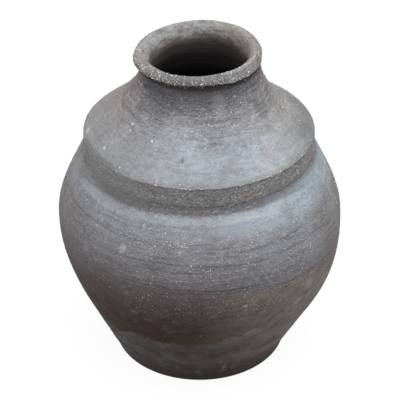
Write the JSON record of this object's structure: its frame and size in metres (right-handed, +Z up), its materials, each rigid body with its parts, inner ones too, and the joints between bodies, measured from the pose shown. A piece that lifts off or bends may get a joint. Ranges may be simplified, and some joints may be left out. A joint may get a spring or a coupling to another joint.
{
  "type": "clay vase",
  "caption": "Hand-thrown dark grey clay vase with a rolled lip, short flared neck, domed shoulder ending in a ridged band, and a full belly tapering to a flat foot.",
  "frame": {"origin": "on the ground, in the middle of the flat foot", "axes": "+Z up along the axis that the vase was thrown on, +X to the right and -Y towards the viewer in the picture's view"},
  "size_m": [0.22, 0.22, 0.26],
  "materials": {
    "foot_clay": "unglazed, scuffed and dark, with pale vertical streaks",
    "smoked_clay": "unglazed, smoked brown-black, with fine throwing lines",
    "grey_clay": "unglazed grey, matte, with throwing lines and pale temper specks",
    "pale_bloom_clay": "unglazed grey with a pale bluish bloom, matte and grainy",
    "dark_grey_clay": "unglazed dark grey, matte",
    "lip_clay": "unglazed, worn and grainy, with pale temper specks"
  },
  "bodies": {
    "root": {"base_disc": "foot_clay", "lower_body": "smoked_clay", "upper_body": "grey_clay", "shoulder_cap": "pale_bloom_clay", "neck_collar": "dark_grey_clay", "rim_roll": "lip_clay"}
  },
  "joints": []
}
